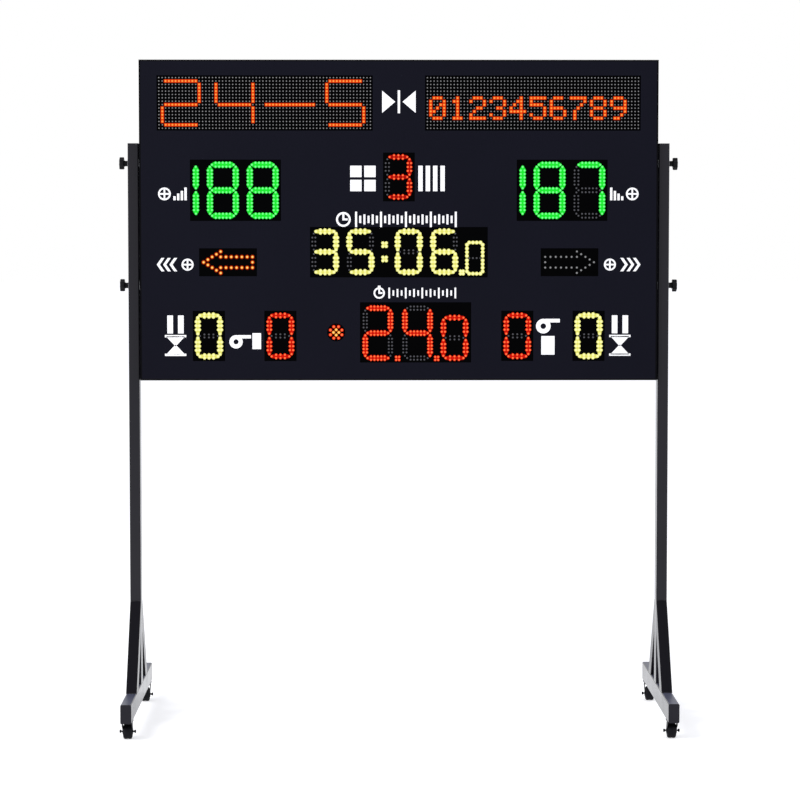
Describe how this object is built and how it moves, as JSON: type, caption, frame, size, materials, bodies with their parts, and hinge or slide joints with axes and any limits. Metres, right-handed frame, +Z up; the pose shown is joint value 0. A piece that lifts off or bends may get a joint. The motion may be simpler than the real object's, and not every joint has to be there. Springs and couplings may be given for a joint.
{
  "type": "portable electronic scoreboard",
  "caption": "Lamp display board for court sports held between two A-frame stands on swivel castors, with hand screws, rear covers and a mains inlet.",
  "frame": {"origin": "on the floor, under the middle of the board", "axes": "+X to the viewer's right, the displays face -Y, +Z up"},
  "size_m": [1.674, 0.782, 1.9888],
  "materials": {
    "casing": "semi-gloss black powder coat",
    "panel": "matt black powder coat with a faint blue cast",
    "display": "matt black moulding",
    "lamp_green": "lit green lamps",
    "lamp_yellow": "lit yellow lamps",
    "lamp_red": "lit red lamps",
    "lamp_unlit": "clear lamps, not lit",
    "circuit": "green solder mask",
    "zinc": "bright zinc plate",
    "supply": "folded sheet, plain",
    "sounder": "black moulding",
    "inlet": "black moulding",
    "rocker": "red moulding",
    "stand": "semi-gloss black powder coat",
    "cap": "black moulding",
    "knob": "black moulding on a plated stud",
    "castor_fork": "black enamel",
    "castor_wheel": "black tread",
    "castor_axle": "black finish"
  },
  "bodies": {
    "base": {"top_rail": "casing", "bottom_rail": "casing", "left_rail": "casing", "right_rail": "casing", "rear_cover_left": "casing", "rear_cover_right": "casing", "front_panel": "panel", "name_display_left": "display", "name_display_right": "display", "score_display_left": "display", "score_display_right": "display", "period_display": "display", "game_clock_display": "display", "shot_clock_display": "display", "counter_displays": "display", "possession_displays": "display", "signal_lamp": "display", "green_segments": "lamp_green", "yellow_segments": "lamp_yellow", "red_segments": "lamp_red", "unlit_segments": "lamp_unlit", "display_circuit_boards": "circuit", "control_board": "circuit", "corner_brackets": "zinc", "rear_mullion": "zinc", "cover_screws": "zinc", "board_nuts": "zinc", "board_spacers": "zinc", "castor_plates": "zinc", "power_supplies": "supply", "horn": "sounder", "power_inlet": "inlet", "left_post": "stand", "right_post": "stand", "left_foot_beam": "stand", "right_foot_beam": "stand", "left_braces": "stand", "right_braces": "stand", "tube_end_caps": "cap"},
    "castor_left_front": {"castor_fork_left_front": "castor_fork", "castor_axle_left_front": "castor_axle"},
    "wheel_left_front": {"castor_wheel_left_front": "castor_wheel"},
    "castor_left_rear": {"castor_fork_left_rear": "castor_fork", "castor_axle_left_rear": "castor_axle"},
    "wheel_left_rear": {"castor_wheel_left_rear": "castor_wheel"},
    "castor_right_front": {"castor_fork_right_front": "castor_fork", "castor_axle_right_front": "castor_axle"},
    "wheel_right_front": {"castor_wheel_right_front": "castor_wheel"},
    "castor_right_rear": {"castor_fork_right_rear": "castor_fork", "castor_axle_right_rear": "castor_axle"},
    "wheel_right_rear": {"castor_wheel_right_rear": "castor_wheel"},
    "clamp_left_upper": {"washer_left_upper": "zinc"},
    "knob_left_upper": {"hand_screw_left_upper": "knob"},
    "clamp_left_lower": {"washer_left_lower": "zinc"},
    "knob_left_lower": {"hand_screw_left_lower": "knob"},
    "clamp_right_upper": {"washer_right_upper": "zinc"},
    "knob_right_upper": {"hand_screw_right_upper": "knob"},
    "clamp_right_lower": {"washer_right_lower": "zinc"},
    "knob_right_lower": {"hand_screw_right_lower": "knob"},
    "rocker": {"power_rocker": "rocker"}
  },
  "joints": [
    {"name": "swivel_left_front", "type": "hinge", "parent": "base", "child": "castor_left_front", "pos_m": [-0.7945, -0.341, 0.05], "axis": [0, 0, 1], "continuous": true},
    {"name": "roll_left_front", "type": "hinge", "parent": "castor_left_front", "child": "wheel_left_front", "pos_m": [-0.7945, -0.323, 0.022], "axis": [1, 0, 0], "continuous": true},
    {"name": "swivel_left_rear", "type": "hinge", "parent": "base", "child": "castor_left_rear", "pos_m": [-0.7945, 0.341, 0.05], "axis": [0, 0, 1], "continuous": true},
    {"name": "roll_left_rear", "type": "hinge", "parent": "castor_left_rear", "child": "wheel_left_rear", "pos_m": [-0.7945, 0.323, 0.022], "axis": [1, 0, 0], "continuous": true},
    {"name": "swivel_right_front", "type": "hinge", "parent": "base", "child": "castor_right_front", "pos_m": [0.7945, -0.341, 0.05], "axis": [0, 0, 1], "continuous": true},
    {"name": "roll_right_front", "type": "hinge", "parent": "castor_right_front", "child": "wheel_right_front", "pos_m": [0.7945, -0.323, 0.022], "axis": [1, 0, 0], "continuous": true},
    {"name": "swivel_right_rear", "type": "hinge", "parent": "base", "child": "castor_right_rear", "pos_m": [0.7945, 0.341, 0.05], "axis": [0, 0, 1], "continuous": true},
    {"name": "roll_right_rear", "type": "hinge", "parent": "castor_right_rear", "child": "wheel_right_rear", "pos_m": [0.7945, 0.323, 0.022], "axis": [1, 0, 0], "continuous": true},
    {"name": "withdraw_left_upper", "type": "slide", "parent": "base", "child": "clamp_left_upper", "axis": [-1, 0, 0], "range_m": [0, 0.01]},
    {"name": "turn_left_upper", "type": "hinge", "parent": "clamp_left_upper", "child": "knob_left_upper", "pos_m": [-0.8105, 0, 1.681], "axis": [-1, 0, 0], "range_deg": [0, 2400]},
    {"name": "withdraw_left_lower", "type": "slide", "parent": "base", "child": "clamp_left_lower", "axis": [-1, 0, 0], "range_m": [0, 0.01]},
    {"name": "turn_left_lower", "type": "hinge", "parent": "clamp_left_lower", "child": "knob_left_lower", "pos_m": [-0.8105, 0, 1.316], "axis": [-1, 0, 0], "range_deg": [0, 2400]},
    {"name": "withdraw_right_upper", "type": "slide", "parent": "base", "child": "clamp_right_upper", "axis": [1, 0, 0], "range_m": [0, 0.01]},
    {"name": "turn_right_upper", "type": "hinge", "parent": "clamp_right_upper", "child": "knob_right_upper", "pos_m": [0.8105, 0, 1.681], "axis": [1, 0, 0], "range_deg": [0, 2400]},
    {"name": "withdraw_right_lower", "type": "slide", "parent": "base", "child": "clamp_right_lower", "axis": [1, 0, 0], "range_m": [0, 0.01]},
    {"name": "turn_right_lower", "type": "hinge", "parent": "clamp_right_lower", "child": "knob_right_lower", "pos_m": [0.8105, 0, 1.316], "axis": [1, 0, 0], "range_deg": [0, 2400]},
    {"name": "rocker_tilt", "type": "hinge", "parent": "base", "child": "rocker", "pos_m": [-0.64, 0.0385, 1.1202], "axis": [1, 0, 0], "range_deg": [-20, 0]}
  ],
  "couplings": [
    {"joint": "withdraw_left_upper", "follows": "turn_left_upper", "m_per_rad": 0.00023873},
    {"joint": "withdraw_left_lower", "follows": "turn_left_lower", "m_per_rad": 0.00023873},
    {"joint": "withdraw_right_upper", "follows": "turn_right_upper", "m_per_rad": 0.00023873},
    {"joint": "withdraw_right_lower", "follows": "turn_right_lower", "m_per_rad": 0.00023873}
  ]
}
